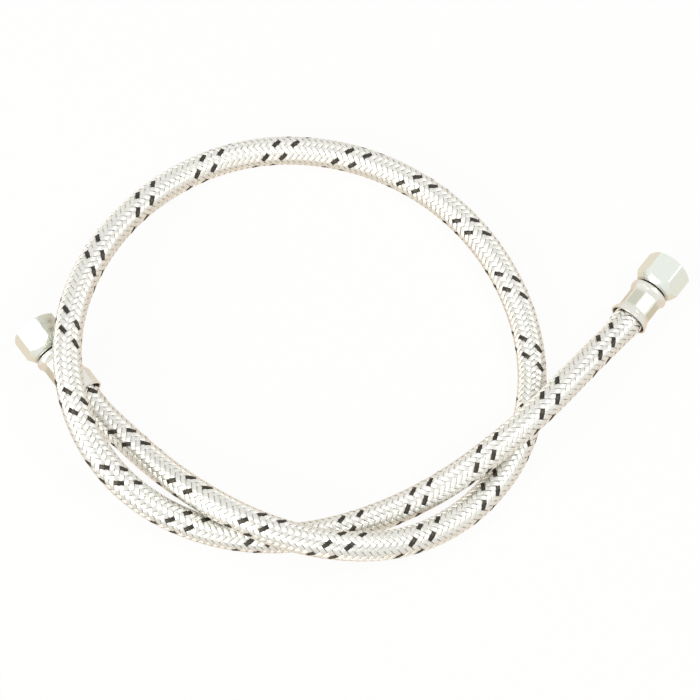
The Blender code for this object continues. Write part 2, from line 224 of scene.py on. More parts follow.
class StageSettings(bpy.types.PropertyGroup):
    floor: colour_setting("Floor colour", "Colour of the pale floor", (0.93, 0.90, 0.86))
    floor_white: FloatProperty(
        name="Floor whiteness", description="Share of plain white in the floor where it is seen",
        default=0.93, subtype="FACTOR")
    floor_gloss: colour_setting(
        "Floor colour in metal", "Colour of the floor as the metal above it shows it", (0.95, 0.82, 0.70))
    lamp_power: FloatProperty(
        name="Lamp power", description="Power of the soft lamp on the right",
        default=4.0, unit="POWER")
    sky_strength: FloatProperty(
        name="Sky strength", description="Strength of the even light from all round", default=0.60)
    camera_distance: length_setting(
        "Camera distance", "Distance of the camera from the point it looks at", 1.2)
    camera_elevation: FloatProperty(
        name="Camera elevation", description="Height of the camera above the horizon",
        default=radians(68), subtype="ANGLE")
    lens: FloatProperty(
        name="Lens", description="Focal length on a 36 mm sensor, in millimetres", default=137.0)


# Modelling steps

def deselect_all():
    bpy.ops.object.select_all(action="DESELECT")


def make_active(piece):
    deselect_all()
    piece.select_set(True)
    bpy.context.view_layer.objects.active = piece


def turned(name, section, sides):
    """A closed piece round +Z: a line of (distance along Z, radius) points drawn and spun."""
    deselect_all()
    bpy.ops.mesh.primitive_plane_add(size=0.001, location=(0, 0, 0))
    piece = bpy.context.object
    piece.name = name
    piece.data.name = name
    bpy.ops.object.mode_set(mode="EDIT")
    bpy.ops.mesh.select_all(action="SELECT")
    bpy.ops.mesh.merge(type="CENTER")
    along, radius = section[0]
    bpy.ops.transform.translate(value=(radius, 0, along))
    for next_along, next_radius in section[1:] + section[:1]:
        step = (next_radius - radius, 0, next_along - along)
        bpy.ops.mesh.extrude_vertices_move(TRANSFORM_OT_translate={"value": step})
        along, radius = next_along, next_radius
    bpy.ops.mesh.select_all(action="SELECT")
    bpy.ops.mesh.remove_doubles(threshold=1e-6)
    bpy.ops.mesh.spin(steps=sides, angle=2 * pi, center=(0, 0, 0), axis=(0, 0, 1))
    bpy.ops.mesh.select_all(action="SELECT")
    bpy.ops.mesh.remove_doubles(threshold=1e-6)
    bpy.ops.mesh.normals_make_consistent(inside=False)
    bpy.ops.object.mode_set(mode="OBJECT")
    return piece


def apply_modifiers(piece):
    make_active(piece)
    for modifier in list(piece.modifiers):
        bpy.ops.object.modifier_apply(modifier=modifier.name)


def put_in_place(piece, place):
    """Moves a piece made round +Z to its fitting and applies the place to its mesh."""
    make_active(piece)
    piece.matrix_world = place
    bpy.ops.object.transform_apply(location=True, rotation=True, scale=True)
    bpy.ops.object.shade_smooth_by_angle(angle=SMOOTH_ANGLE)


def reshape_round(piece, new_radius):
    """Moves each point of a piece round +Z in or out to the radius that new_radius gives it."""
    points = np.empty(len(piece.data.vertices) * 3)
    piece.data.vertices.foreach_get("co", points)
    points = points.reshape(-1, 3)
    radius = np.hypot(points[:, 0], points[:, 1])
    angle = np.arctan2(points[:, 1], points[:, 0])
    wanted = new_radius(points[:, 2], angle, radius)
    points[:, :2] *= (wanted / np.maximum(radius, 1e-9))[:, None]
    piece.data.vertices.foreach_set("co", points.ravel())
    piece.data.update()


def ease(share):
    """A share from 0 to 1 that starts and ends gently."""
    return share * share * (3 - 2 * share)


def round_steps(start, end, count):
    """Steps of a quarter circle between two (distance, radius) corners."""
    (a0, r0), (a1, r1) = start, end
    turns = [pi / 2 * k / count for k in range(count + 1)]
    return [(a0 + (a1 - a0) * sin(turn), r1 + (r0 - r1) * cos(turn)) for turn in turns]


# Places along the hose and its fittings

def fitting_axis(side):
    """Direction of a fitting towards its nut, from the nut's joint."""
    joint = next(joint for joint in frame["joints"] if joint["name"] == f"{side}_nut_swivel")
    return Vector(joint["axis"]).normalized()


def fitting_place(side):
    """Matrix of a fitting: +Z along it, +X its upper side, its origin in the ferrule's mouth."""
    axis = fitting_axis(side)
    level = Vector((-axis.y, axis.x, 0)).normalized()
    upper = axis.cross(level).normalized()
    rim_height = FERRULE_RIM_RADIUS * sqrt(1 - axis.z ** 2)
    turn = Matrix((upper, -level, axis)).transposed().to_4x4()
    return Matrix.Translation((*ENDS[side]["rim"], rim_height)) @ turn


def ferrule_length(side):
    return ENDS[side]["mouth"] + CRIMP_LENGTH + SHOULDER_LENGTH


def smooth_route(points, first_direction, last_direction, steps=24):
    """Points of one smooth cubic curve through the route, with its end directions given."""
    knots = np.array(points)
    chords = np.linalg.norm(np.diff(knots, axis=0), axis=1)
    count = len(knots)
    system = np.eye(count)
    slopes = np.zeros_like(knots)
    slopes[0] = first_direction
    slopes[-1] = last_direction
    for knot in range(1, count - 1):
        before, after = chords[knot - 1], chords[knot]
        system[knot, knot - 1:knot + 2] = after, 2 * (before + after), before
        step_in = (knots[knot] - knots[knot - 1]) * after / before
        step_out = (knots[knot + 1] - knots[knot]) * before / after
        slopes[knot] = 3 * (step_in + step_out)
    slopes = np.linalg.solve(system, slopes)
    t = (np.arange(steps) / steps)[:, None]
    curve = [
        (1 + 2 * t) * (1 - t) ** 2 * knots[knot]
        + t * t * (3 - 2 * t) * knots[knot + 1]
        + chords[knot] * t * (1 - t) ** 2 * slopes[knot]
        - chords[knot] * t * t * (1 - t) * slopes[knot + 1]
        for knot in range(count - 1)
    ]
    return np.concatenate(curve + [knots[-1:]])


def unit(rows):
    return rows / np.linalg.norm(rows, axis=-1, keepdims=True)


def rows_at(stations, known, rows):
    """Rows of three numbers at these stations, between the known ones."""
    return np.stack([np.interp(stations, known, rows[:, axis]) for axis in range(3)], axis=-1)


class HoseLine:
    """The hose's centreline, end wall to end wall, with a frame that doesn't twist along it."""

    def __init__(self, spacing=0.0005):
        left_rim, right_rim = (tuple(fitting_place(side).translation) for side in ENDS)
        left_out, right_out = (np.array(fitting_axis(side)) for side in ENDS)
        route = [left_rim, *HOSE_ROUTE, right_rim]
        curve = smooth_route(route, -left_out, right_out)
        steps = np.linalg.norm(np.diff(curve, axis=0), axis=1)
        travelled = np.concatenate(([0.0], np.cumsum(steps)))
        self.free_length = travelled[-1]
        self.start = -(ferrule_length("left") - FERRULE_END_WALL - CLEARANCE)
        self.end = self.free_length + ferrule_length("right") - FERRULE_END_WALL - CLEARANCE
        self.stations = np.arange(self.start, self.end + spacing, spacing)
        free = np.clip(self.stations, 0.0, self.free_length)
        self.points = rows_at(free, travelled, curve)
        self.points += np.maximum(-self.stations, 0.0)[:, None] * left_out
        self.points += np.maximum(self.stations - self.free_length, 0.0)[:, None] * right_out
        self.along = unit(np.gradient(self.points, axis=0))
        self.upper = self._untwisted_upper()
        self.side = np.cross(self.along, self.upper)
        self.turns, self.twist = (self._eased_marks(column) for column in (1, 2))

    def _untwisted_upper(self):
        upper = np.empty_like(self.points)
        carried = np.array((0, 0, 1.0))
        for k, along in enumerate(self.along):
            carried = unit(carried - along * (carried @ along))
            upper[k] = carried
        return upper

    def _eased_marks(self, column):
        """A column of the braid marks at every station, with its corners rounded."""
        marks = np.array(BRAID_MARKS)
        values = np.interp(self.stations, marks[:, 0], marks[:, column])
        first_step, last_step = values[1] - values[0], values[-1] - values[-2]
        before = values[0] - first_step * np.arange(EASING_STATIONS, 0, -1)
        after = values[-1] + last_step * np.arange(1, EASING_STATIONS + 1)
        window = np.ones(EASING_STATIONS) / EASING_STATIONS
        rounded = np.convolve(np.concatenate((before, values, after)), window, mode="same")
        return rounded[EASING_STATIONS:-EASING_STATIONS]

    def squeeze(self, stations, swell):
        """How far the crimp presses the hose in at these stations, less its swell at the mouths."""
        past_end = stations - self.free_length
        left = np.clip(-stations / ENDS["left"]["mouth"], 0, 1)
        right = np.clip(past_end / ENDS["right"]["mouth"], 0, 1)
        to_mouth = np.minimum(np.abs(stations), np.abs(past_end))
        pressed = CRIMP_SQUEEZE * ease(np.maximum(left, right))
        return pressed - swell * np.exp(-(to_mouth / SWELL_REACH) ** 2)

    def at(self, stations, angles, radii):
        """Points at these stations, angles from the upper side in radians, and radii."""
        centre = rows_at(stations, self.stations, self.points)
        upper = unit(rows_at(stations, self.stations, self.upper))
        side = unit(rows_at(stations, self.stations, self.side))
        outwards = np.cos(angles)[..., None] * upper + np.sin(angles)[..., None] * side
        return centre + radii[..., None] * outwards


# Material steps

def set_inputs(tree, node, inputs):
    """Sets each input of a node, or links it to the output that is given for it."""
    for socket, value in inputs.items():
        if isinstance(value, bpy.types.NodeSocket):
            tree.links.new(value, node.inputs[socket])
        else:
            node.inputs[socket].default_value = value


def add_node(tree, kind, inputs=None, **settings):
    """A node with its settings, and its inputs set or linked."""
    node = tree.nodes.new(kind)
    for setting, value in settings.items():
        setattr(node, setting, value)
    set_inputs(tree, node, inputs or {})
    return node


def calculate(tree, operation, *values):
    return add_node(tree, "ShaderNodeMath", dict(enumerate(values)), operation=operation).outputs[0]


def multiply(tree, first, second):
    return calculate(tree, "MULTIPLY", first, second)


def add(tree, first, second):
    return calculate(tree, "ADD", first, second)


def subtract(tree, first, second):
    return calculate(tree, "SUBTRACT", first, second)


def blend_colours(tree, share, first, second):
    """The first colour at a share of 0, the second at 1."""
    ends = [end if isinstance(end, bpy.types.NodeSocket) else (*end[:3], 1.0) for end in (first, second)]
    return add_node(tree, "ShaderNodeMix", {0: share, 6: ends[0], 7: ends[1]}, data_type="RGBA").outputs[2]


def tinted(colour, *tint):
    """A colour times one number, or times one for each part, kept from glaring."""
    tints = tint * 3 if len(tint) == 1 else tint
    return tuple(min(part * share, BRIGHTEST_METAL) for part, share in zip(colour, tints))


def spread(tree, value, low, high, from_low=0.0, from_high=1.0):
    """A value from one range spread over another."""
    inputs = {"Value": value, "From Min": from_low, "From Max": from_high, "To Min": low, "To Max": high}
    return add_node(tree, "ShaderNodeMapRange", inputs).outputs["Result"]


def noise(tree, vector, scale, **more):
    """Noise of this scale, with more of its inputs by their names in small letters."""
    inputs = {"Vector": vector, "Scale": scale}
    inputs.update({name.capitalize(): value for name, value in more.items()})
    return add_node(tree, "ShaderNodeTexNoise", inputs).outputs["Fac"]


def stretched(tree, vector, shares):
    return add_node(tree, "ShaderNodeVectorMath", {0: vector, 1: shares}, operation="MULTIPLY").outputs[0]


def split(tree, vector):
    parts = add_node(tree, "ShaderNodeSeparateXYZ", {"Vector": vector}).outputs
    return parts["X"], parts["Y"], parts["Z"]


def wire_bundle(group, given):
    """Round wires side by side. The strand map counts wires across and millimetres along."""
    across_wires = split(group, given["Strand"])[0]
    across = calculate(group, "FRACT", across_wires)
    off_middle = calculate(group, "MULTIPLY_ADD", across, 2.0, -1.0)
    below = subtract(group, 1.0, multiply(group, off_middle, off_middle))
    height = calculate(group, "SQRT", calculate(group, "MAXIMUM", below, 0.0))
    wire = calculate(group, "FLOOR", across_wires)
    tone = add_node(group, "ShaderNodeTexWhiteNoise", {"W": wire}, noise_dimensions="1D").outputs["Value"]
    lengthwise = stretched(group, given["Strand"], (1.0, 0.35, 1.0))
    fleck = noise(group, lengthwise, given["Fleck size"], detail=3.0, roughness=0.6)
    return {"Height": height, "Tone": tone, "Groove": subtract(group, 1.0, height), "Fleck": fleck}


def handling_wear(group, given):
    """Fine scratches, dull spots and faint dents of metal that has been handled."""
    spots = noise(group, given["Place"], given["Spot size"], detail=4.0, roughness=0.65, distortion=0.4)
    drawn = stretched(group, given["Place"], (1.0, 0.18, 0.12))
    scratches = noise(group, drawn, given["Scratch size"], detail=2.0, roughness=0.5, distortion=1.2)
    line = spread(group, calculate(group, "ABSOLUTE", subtract(group, scratches, 0.5)), 1.0, 0.0, 0.0, 0.035)
    height = subtract(group, multiply(group, spots, 0.6), multiply(group, line, 0.25))
    return {"Spots": spread(group, spots, 0.0, 1.0, 0.42, 0.68), "Scratches": line, "Height": height}


def turning_marks(group, given):
    """Fine rings that a lathe leaves, and how far a point is from the turning axis."""
    x, y, z = split(group, given["Place"])
    radius = calculate(group, "SQRT", add(group, multiply(group, x, x), multiply(group, y, y)))
    path = multiply(group, add(group, z, radius), given["Rings per metre"])
    inputs = {"W": path, "Scale": 1.0, "Detail": 2.0}
    height = add_node(group, "ShaderNodeTexNoise", inputs, noise_dimensions="1D").outputs["Fac"]
    return {"Height": height, "Rings": spread(group, height, 0.0, 1.0, 0.3, 0.7), "Radius": radius}


def pressed_facets(group, given):
    """The facets that the crimping jaws leave round a ferrule's waist, and the ridges between them."""
    x, y, along = split(group, given["Place"])
    turn = multiply(group, calculate(group, "ARCTAN2", y, x), 1 / (2 * pi))
    off_ridge = calculate(group, "PINGPONG", multiply(group, turn, given["Facets"]), 0.5)
    past_start = subtract(group, along, given["Waist start"])
    before_end = subtract(group, given["Waist end"], along)
    waist = spread(group, calculate(group, "MINIMUM", past_start, before_end), 0.0, 1.0, -0.0010, 0.0005)
    ridge = spread(group, off_ridge, 1.0, 0.0, 0.03, 0.10)
    facet = subtract(group, 1.0, ridge)
    return {"Facet": multiply(group, waist, facet), "Ridge": multiply(group, waist, ridge)}


# Each shared effect: what makes it, and its inputs with a number, or with None for a vector
EFFECTS = {
    "Wire bundle": (wire_bundle, {"Strand": None, "Fleck size": 2.0}),
    "Handling wear": (handling_wear, {"Place": None, "Spot size": 900.0, "Scratch size": 2500.0}),
    "Turning marks": (turning_marks, {"Place": None, "Rings per metre": 5000.0}),
    "Pressed facets": (
        pressed_facets, {"Place": None, "Facets": 8.0, "Waist start": 0.005, "Waist end": 0.0122}),
}


def effect_group(name):
    """The node group of a shared effect, made when it is first asked for."""
    if name in bpy.data.node_groups:
        return bpy.data.node_groups[name]
    fill, inputs = EFFECTS[name]
    group = bpy.data.node_groups.new(name, "ShaderNodeTree")
    for label, number in inputs.items():
        kind = "NodeSocketVector" if number is None else "NodeSocketFloat"
        socket = group.interface.new_socket(name=label, in_out="INPUT", socket_type=kind)
        if number is not None:
            socket.default_value = number
    results = fill(group, group.nodes.new("NodeGroupInput").outputs)
    for label in results:
        group.interface.new_socket(name=label, in_out="OUTPUT", socket_type="NodeSocketFloat")
    set_inputs(group, group.nodes.new("NodeGroupOutput"), results)
    return group


def use_effect(tree, name, **inputs):
    named = {label.replace("_", " "): value for label, value in inputs.items()}
    return add_node(tree, "ShaderNodeGroup", named, node_tree=effect_group(name)).outputs


def new_material(name, metallic):
    surface = bpy.data.materials.new(name)
    surface.use_nodes = True
    shader = surface.node_tree.nodes["Principled BSDF"]
    shader.inputs["Metallic"].default_value = metallic
    return surface, surface.node_tree, shader


def finish_material(tree, shader, colour, roughness, height, strength, distance):
    """Gives a material its colour, its roughness and its relief."""
    relief = add_node(tree, "ShaderNodeBump", {"Height": height, "Strength": strength, "Distance": distance})
    inputs = {"Base Color": colour, "Roughness": roughness, "Normal": relief.outputs["Normal"]}
    set_inputs(tree, shader, inputs)


def braid_material(name, colour, roughness, groove_shade_share, tone_spread, relief):
    """Wires of one finish, each a little lighter or darker, with painted shade in the grooves between them.
    """
    surface, tree, shader = new_material(name, 1.0)
    across = add_node(tree, "ShaderNodeTangent", direction_type="UV_MAP", uv_map="Strand").outputs["Tangent"]
    set_inputs(tree, shader, {"Anisotropic": 0.9, "Tangent": across})
    strand = add_node(tree, "ShaderNodeUVMap", uv_map="Strand").outputs["UV"]
    wires = use_effect(tree, "Wire bundle", Strand=strand, Fleck_size=1.4)
    tone = spread(tree, wires["Tone"], 1.0 - tone_spread, 1.0)
    wire_tone = multiply(tree, tone, spread(tree, wires["Fleck"], 0.93, 1.03, 0.3, 0.7))
    lit = add_node(tree, "ShaderNodeVectorMath", {0: colour, "Scale": wire_tone}, operation="SCALE").outputs[0]
    # painted shade: the colour darkens towards each wire's edges, in the grooves between the wires
    groove = multiply(tree, calculate(tree, "POWER", wires["Groove"], 2.0), groove_shade_share)
    rough = add(tree, spread(tree, wires["Fleck"], -0.06, 0.08, 0.3, 0.7), roughness)
    wire = blend_colours(tree, groove, lit, tinted(colour, 0.25))
    finish_material(tree, shader, wire, rough, wires["Height"], 0.5, relief)
    return surface


def rubber_material(colour):
    """Black rubber with a fine grain."""
    surface, tree, shader = new_material("Liner rubber", 0.0)
    place = add_node(tree, "ShaderNodeTexCoord").outputs["Object"]
    grain = noise(tree, place, 1800.0, detail=4.0)
    black = blend_colours(tree, grain, colour, tinted(colour, 1.8))
    finish_material(tree, shader, black, spread(tree, grain, 0.6, 0.85), grain, 0.4, 0.0001)
    return surface


def fitting_coordinates(tree, side):
    """Object coordinates turned so that Z runs along the fitting from its ferrule's mouth."""
    place = fitting_place(side)
    return add_node(
        tree, "ShaderNodeMapping",
        {"Vector": add_node(tree, "ShaderNodeTexCoord").outputs["Object"],
         "Location": place.translation, "Rotation": place.to_euler("XYZ")},
        vector_type="TEXTURE").outputs["Vector"]


def fitting_material(side, name, spots, scratches, rings=None, metallic=1.0):
    """A metal's material with its wear and any turning marks, laid along the fitting."""
    surface, tree, shader = new_material(f"{side.capitalize()} {name}", metallic)
    place = fitting_coordinates(tree, side)
    marks = use_effect(tree, "Turning marks", Place=place, Rings_per_metre=rings) if rings else None
    wear = use_effect(tree, "Handling wear", Place=place, Spot_size=spots, Scratch_size=scratches)
    return surface, tree, shader, place, marks, wear


def ferrule_material(side, colour):
    """Bright nickel with lathe rings and spots, darker and more olive over the waist in uneven patches, with
    painted shade on the pressed facets and a painted highlight on the ridges between them.
    """
    surface, tree, shader, place, rings, wear = fitting_material(
        side, "ferrule nickel", spots=700.0, scratches=1600.0, rings=6000.0)
    mouth = ENDS[side]["mouth"]
    jaws = use_effect(tree, "Pressed facets", Place=place, Waist_start=mouth, Waist_end=mouth + CRIMP_LENGTH)
    waist = spread(tree, rings["Radius"], 1.0, 0.0, 0.0073, 0.0084)
    # the waist turns darker and more olive, a little everywhere and more in spots
    waist_tint_share = multiply(tree, waist, spread(tree, wear["Spots"], 0.10, 0.35))
    waist_tinted = blend_colours(tree, waist_tint_share, colour, tinted(colour, *WAIST_OLIVE_TINT))
    # painted shade: the pressed facets of the waist are darker and more olive
    dull = tinted(colour, *FACET_SHADE_TINT)
    pressed = blend_colours(tree, multiply(tree, jaws["Facet"], 0.85), waist_tinted, dull)
    # painted highlight: the ridges between the pressed facets are lighter
    ridge_highlighted = blend_colours(tree, jaws["Ridge"], pressed, tinted(colour, 1.12))
    worn = blend_colours(tree, multiply(tree, wear["Spots"], 0.25), ridge_highlighted, tinted(colour, 0.86))
    rough = add(tree, spread(tree, wear["Spots"], 0.17, 0.30), multiply(tree, wear["Scratches"], 0.12))
    height = add(tree, multiply(tree, rings["Height"], 0.35), wear["Height"])
    finish_material(tree, shader, worn, rough, height, 0.25, 0.00006)
    return surface


def ferrule_inside_material(side):
    """The inside of the bell, dark brown and dull."""
    surface, tree, shader, _, _, wear = fitting_material(
        side, "ferrule inside", spots=900.0, scratches=1500.0, metallic=0.8)
    # the inside of the bell is dark brown, darker in spots
    inside_brown = blend_colours(tree, wear["Spots"], BELL_INSIDE_BROWN, BELL_INSIDE_BROWN_SPOT)
    finish_material(tree, shader, inside_brown, spread(tree, wear["Spots"], 0.40, 0.65), wear["Height"], 0.3, 0.0001)
    return surface


def nut_material(side, colour):
    """Satin plate, matte on the flats, with lighter and less rough corners, painted shade in the bore and
    faint lathe rings.
    """
    surface, tree, shader, _, rings, wear = fitting_material(
        side, "nut zinc", spots=500.0, scratches=1300.0, rings=4500.0)
    # the corners are lighter and less rough than the flats, by radius alone
    corner = spread(tree, rings["Radius"], 0.0, 1.0, 0.0104, 0.01085)
    bore = spread(tree, rings["Radius"], 1.0, 0.0, 0.0083, 0.0086)
    dulled = blend_colours(tree, multiply(tree, wear["Spots"], 0.35), colour, tinted(colour, 0.90))
    bright = blend_colours(tree, multiply(tree, corner, 0.6), dulled, tinted(colour, 1.08))
    plate = blend_colours(tree, multiply(tree, bore, 0.55), bright, BORE_SHADE)
    rough = subtract(tree, spread(tree, wear["Spots"], 0.22, 0.34), multiply(tree, corner, 0.08))
    height = add(tree, multiply(tree, rings["Height"], 0.05), wear["Height"])
    finish_material(tree, shader, plate, rough, height, 0.12, 0.00004)
    return surface


def insert_material(side, colour):
    """Turned steel with clear lathe rings."""
    surface, tree, shader, _, rings, wear = fitting_material(
        side, "insert steel", spots=900.0, scratches=2000.0, rings=5200.0)
    steel = blend_colours(tree, multiply(tree, rings["Rings"], 0.4), colour, tinted(colour, 0.75))
    height = add(tree, rings["Height"], multiply(tree, wear["Height"], 0.5))
    finish_material(tree, shader, steel, spread(tree, wear["Spots"], 0.25, 0.42), height, 0.35, 0.0001)
    return surface


# Hose

def smooth_piece(name, points, faces):
    mesh = bpy.data.meshes.new(name)
    mesh.from_pydata(points.reshape(-1, 3).tolist(), [], faces)
    mesh.shade_smooth()
    piece = bpy.data.objects.new(name, mesh)
    bpy.context.scene.collection.objects.link(piece)
    return piece


def tube(name, line, radius, bore, swell, spacing, sides):
    """A hollow tube along the whole hose, pressed in where the ferrules grip it."""
    count = round((line.end - line.start) / spacing)
    stations = np.linspace(line.start, line.end, count + 1)
    angles = np.linspace(0, 2 * pi, sides, endpoint=False)
    grid_stations, grid_angles = np.meshgrid(stations, angles, indexing="ij")
    squeeze = line.squeeze(grid_stations, swell)
    outer = line.at(grid_stations, grid_angles, radius - squeeze)
    inner = line.at(grid_stations, grid_angles, bore - squeeze)
    rings = np.concatenate((outer, inner[::-1]))
    piece = smooth_piece(name, rings, ring_faces(len(rings), sides, closed=True))
    piece.data.set_sharp_from_angle(angle=radians(60))
    return piece


def ring_faces(rows, sides, closed):
    """Quads between rows of points that go round, with the last row joined to the first if closed."""
    row = np.arange(rows if closed else rows - 1)[:, None]
    side = np.arange(sides)[None, :]
    following = (row + 1) % rows
    beside = (side + 1) % sides
    corners = (row * sides + side, row * sides + beside, following * sides + beside, following * sides + side)
    return np.stack(np.broadcast_arrays(*corners), axis=-1).reshape(-1, 4).tolist()


def bundle_wave(place):
    """Height of a bundle, from 1 over two crossing bundles to -1 under the next two."""
    return np.tanh(WAVE_SHARPNESS * np.cos(pi * place / 2)) / np.tanh(WAVE_SHARPNESS)


def bundle_rows(line, sizes, hand, carrier, width):
    """Points of one wire bundle, row by row along the hose, and the count of each row.

    Bundles of one hand are counted round the hose by one number and those of the other hand
    by another, so each crossing has a whole number of each. A bundle's rows follow the
    bundles that cross it, which gives its visible stretches their slanted ends.
    """
    span = 2 * sizes.carriers
    first_turn, last_turn = line.turns[0], line.turns[-1]
    if hand == "left":
        first = carrier + 0.5 - span * last_turn
        last = carrier + 0.5 - span * first_turn
        over_middle = 0.5 - carrier
    else:
        first = carrier - 0.5 + span * first_turn
        last = carrier - 0.5 + span * last_turn
        over_middle = 2.5 - carrier
    rows = np.arange(np.ceil(first * 2), np.floor(last * 2) + 1) / 2
    thick = sizes.bundle_thickness / 2
    offsets = np.array([across * width / 2 for across, _ in BUNDLE_PROFILE])
    lifts = np.array([lift * thick for _, lift in BUNDLE_PROFILE])
    along, own = np.meshgrid(rows, carrier + offsets, indexing="ij")
    right_count, left_count = (along, own) if hand == "left" else (own, along)
    turns = (left_count - right_count + 0.5) / span
    stations = np.interp(turns, line.turns, line.stations)
    step = 360 / sizes.carriers
    angle = step * (left_count + right_count) / 2 - step / 4 + np.interp(stations, line.stations, line.twist)
    middle = sizes.outer_radius - BUNDLE_CROWN * thick - sizes.wave
    wave = sizes.wave * bundle_wave(along - over_middle)
    radii = middle + wave + lifts[None, :] - line.squeeze(stations, sizes.swell)
    return line.at(stations, np.radians(angle), radii), rows


def bundle_mesh(name, line, sizes, hand, carriers, width):
    """One piece of several wire bundles, with the strand map that the wire material reads."""
    verts, faces, strands = [], [], []
    count = 0
    marks = np.append(STRAND_MARKS, 2.0) * sizes.wires
    for carrier in carriers:
        points, rows = bundle_rows(line, sizes, hand, carrier, width)
        if hand == "left":
            points = points[:, ::-1]
        sides = points.shape[1]
        quads = np.array(ring_faces(len(points), sides, closed=False))
        side, row = quads[:, 0] % sides, quads[:, 0] // sides
        start, end = (marks[corner] + STRAND_ROOM * carrier for corner in (side, side + 1))
        low, high = rows[row] * STRAND_STEP, rows[row + 1] * STRAND_STEP
        across = np.stack((start, end, end, start), axis=-1).ravel()
        strands.append(np.stack((across, np.stack((low, low, high, high), axis=-1).ravel()), axis=-1))
        strands.append(np.zeros((2 * sides, 2)))
        faces += (quads + count).tolist()
        after = count + len(rows) * sides
        faces += [list(range(count + sides - 1, count - 1, -1)), list(range(after - sides, after))]
        verts.append(points.reshape(-1, 3))
        count = after
    piece = smooth_piece(name, np.concatenate(verts), faces)
    strand = piece.data.uv_layers.new(name="Strand")
    strand.data.foreach_set("uv", np.concatenate(strands).astype(np.float32).ravel())
    return piece


class FUELHOSE_OT_liner(bpy.types.Operator):
    """Makes the rubber liner that shows between the wires"""
    bl_idname = "fuel_hose.liner"
    bl_label = "Rubber Liner"

    def execute(self, context):
        sizes = context.scene.fuel_hose
        line = HoseLine()
        liner = tube(
            "rubber_liner", line, sizes.liner_radius, sizes.liner_bore, sizes.swell, spacing=0.002, sides=24)
        liner.data.materials.append(rubber_material(sizes.rubber))
        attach(liner, "hose_assembly")
        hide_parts("hose_liner")
        return {"FINISHED"}


class FUELHOSE_OT_braid(bpy.types.Operator):
    """Weaves the bright wire bundles and the two black tracers round the liner"""
    bl_idname = "fuel_hose.braid"
    bl_label = "Wire Braid"

    def execute(self, context):
        sizes = context.scene.fuel_hose
        line = HoseLine()
        bright = braid_material(
            "Braid wire", tuple(sizes.steel), roughness=0.40,
            groove_shade_share=0.08, tone_spread=0.08, relief=0.00004)
        black = braid_material(
            "Tracer wire", tuple(sizes.tracer), roughness=0.38,
            groove_shade_share=0.3, tone_spread=0.35, relief=0.00006)
        tracers = (0, 3)
        rest = [carrier for carrier in range(sizes.carriers) if carrier not in tracers]
        half = sizes.carriers // 2
        groups = [
            ("braid_right_hand_a", "right", range(half), bright),
            ("braid_right_hand_b", "right", range(half, sizes.carriers), bright),
            ("braid_left_hand_a", "left", rest[:5], bright),
            ("braid_left_hand_b", "left", rest[5:], bright),
            ("braid_tracers", "left", tracers, black),
        ]
        for name, hand, carriers, surface in groups:
            width = sizes.tracer_share if surface is black else sizes.bundle_share
            piece = bundle_mesh(name, line, sizes, hand, carriers, width)
            piece.data.materials.append(surface)
            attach(piece, "hose_assembly")
            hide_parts("hose_braid")
        return {"FINISHED"}


# Fittings

def ferrule_section(side, sizes):
    """Closed section of a ferrule: rolled rim, bell, waist and round shoulder, then the inside."""
    mouth = ENDS[side]["mouth"]
    waist_end = mouth + CRIMP_LENGTH
    end = ferrule_length(side)
    flare_start = mouth - FLARE_LENGTH
    straight = max(flare_start - 0.0006, 0.0)
    bell, waist, shoulder = sizes.bell_radius, sizes.waist_radius, sizes.shoulder_radius
    inner_bell = bell - FERRULE_WALL
    rim = FERRULE_RIM_RADIUS
    section = [(0.00004, inner_bell + 0.00030), (0.0, inner_bell + 0.00042), (0.0, rim - 0.00022)]
    section += [(0.00004, rim - 0.00008), (0.00016, rim), (0.00034, rim - 0.00005)]
    section += [(RIM_ROLL_LENGTH, bell + 0.00006)]
    section += [(0.0006 + straight * k / 4, bell - 0.00004) for k in range(5) if straight > 0.001]
    for share in np.arange(1, 12) / 12:
        along = flare_start + 0.0001 + (FLARE_LENGTH - 0.0001) * share
        section.append((along, bell + (waist - bell) * ease(share)))
    section += [(mouth + CRIMP_LENGTH * k / 12, waist) for k in range(13)]
    rise_length = SHOULDER_LENGTH - 2 * SHOULDER_ROUNDING
    for share in np.arange(1, 9) / 9:
        rise = sin(pi / 2 * share) ** 1.2
        section.append((waist_end + rise_length * share, waist + (shoulder - waist) * rise))
    section.append((end - 2 * SHOULDER_ROUNDING + EDGE_BREAK, shoulder))
    section.append((end - SHOULDER_ROUNDING - EDGE_BREAK, shoulder))
    section += round_steps((end - SHOULDER_ROUNDING, shoulder), (end, shoulder - SHOULDER_ROUNDING), 8)
    hole = GROOVE_RADIUS + CLEARANCE
    grip = HOSE_RADIUS - CRIMP_SQUEEZE + CLEARANCE
    inner_end = end - FERRULE_END_WALL
    section += [(end, hole + EDGE_BREAK), (end - EDGE_BREAK, hole)]
    section += [(inner_end, hole), (inner_end, grip), (mouth, grip)]
    for share in np.arange(1, 7) / 7:
        section.append((mouth - (FLARE_LENGTH - 0.0004) * share, grip + (inner_bell - grip) * ease(share)))
    return section + [(flare_start + 0.0002, inner_bell), (0.00035, inner_bell + 0.00008)]


def press_flats(side, sizes):
    """The radii of a ferrule once the crimping jaws have pressed their flats into its waist."""
    mouth = ENDS[side]["mouth"]
    waist_end = mouth + CRIMP_LENGTH
    sector = 2 * pi / sizes.flats

    def new_radius(along, angle, radius):
        past = np.maximum(np.maximum(mouth - along, along - waist_end), 0.0)
        jaw = sizes.flat_distance + past * past / (2 * CRIMP_RUNOUT_RADIUS)
        reach = jaw / np.cos(angle % sector - sector / 2)
        rounded = np.sqrt((radius - reach) ** 2 + FLAT_EDGE_SOFTNESS ** 2)
        pressed = 0.5 * (radius + reach - rounded + FLAT_EDGE_SOFTNESS)
        inside = radius < np.interp(along, [0, mouth, waist_end], INSIDE_LIMITS)
        return np.where(inside, radius, np.minimum(pressed, radius))

    return new_radius


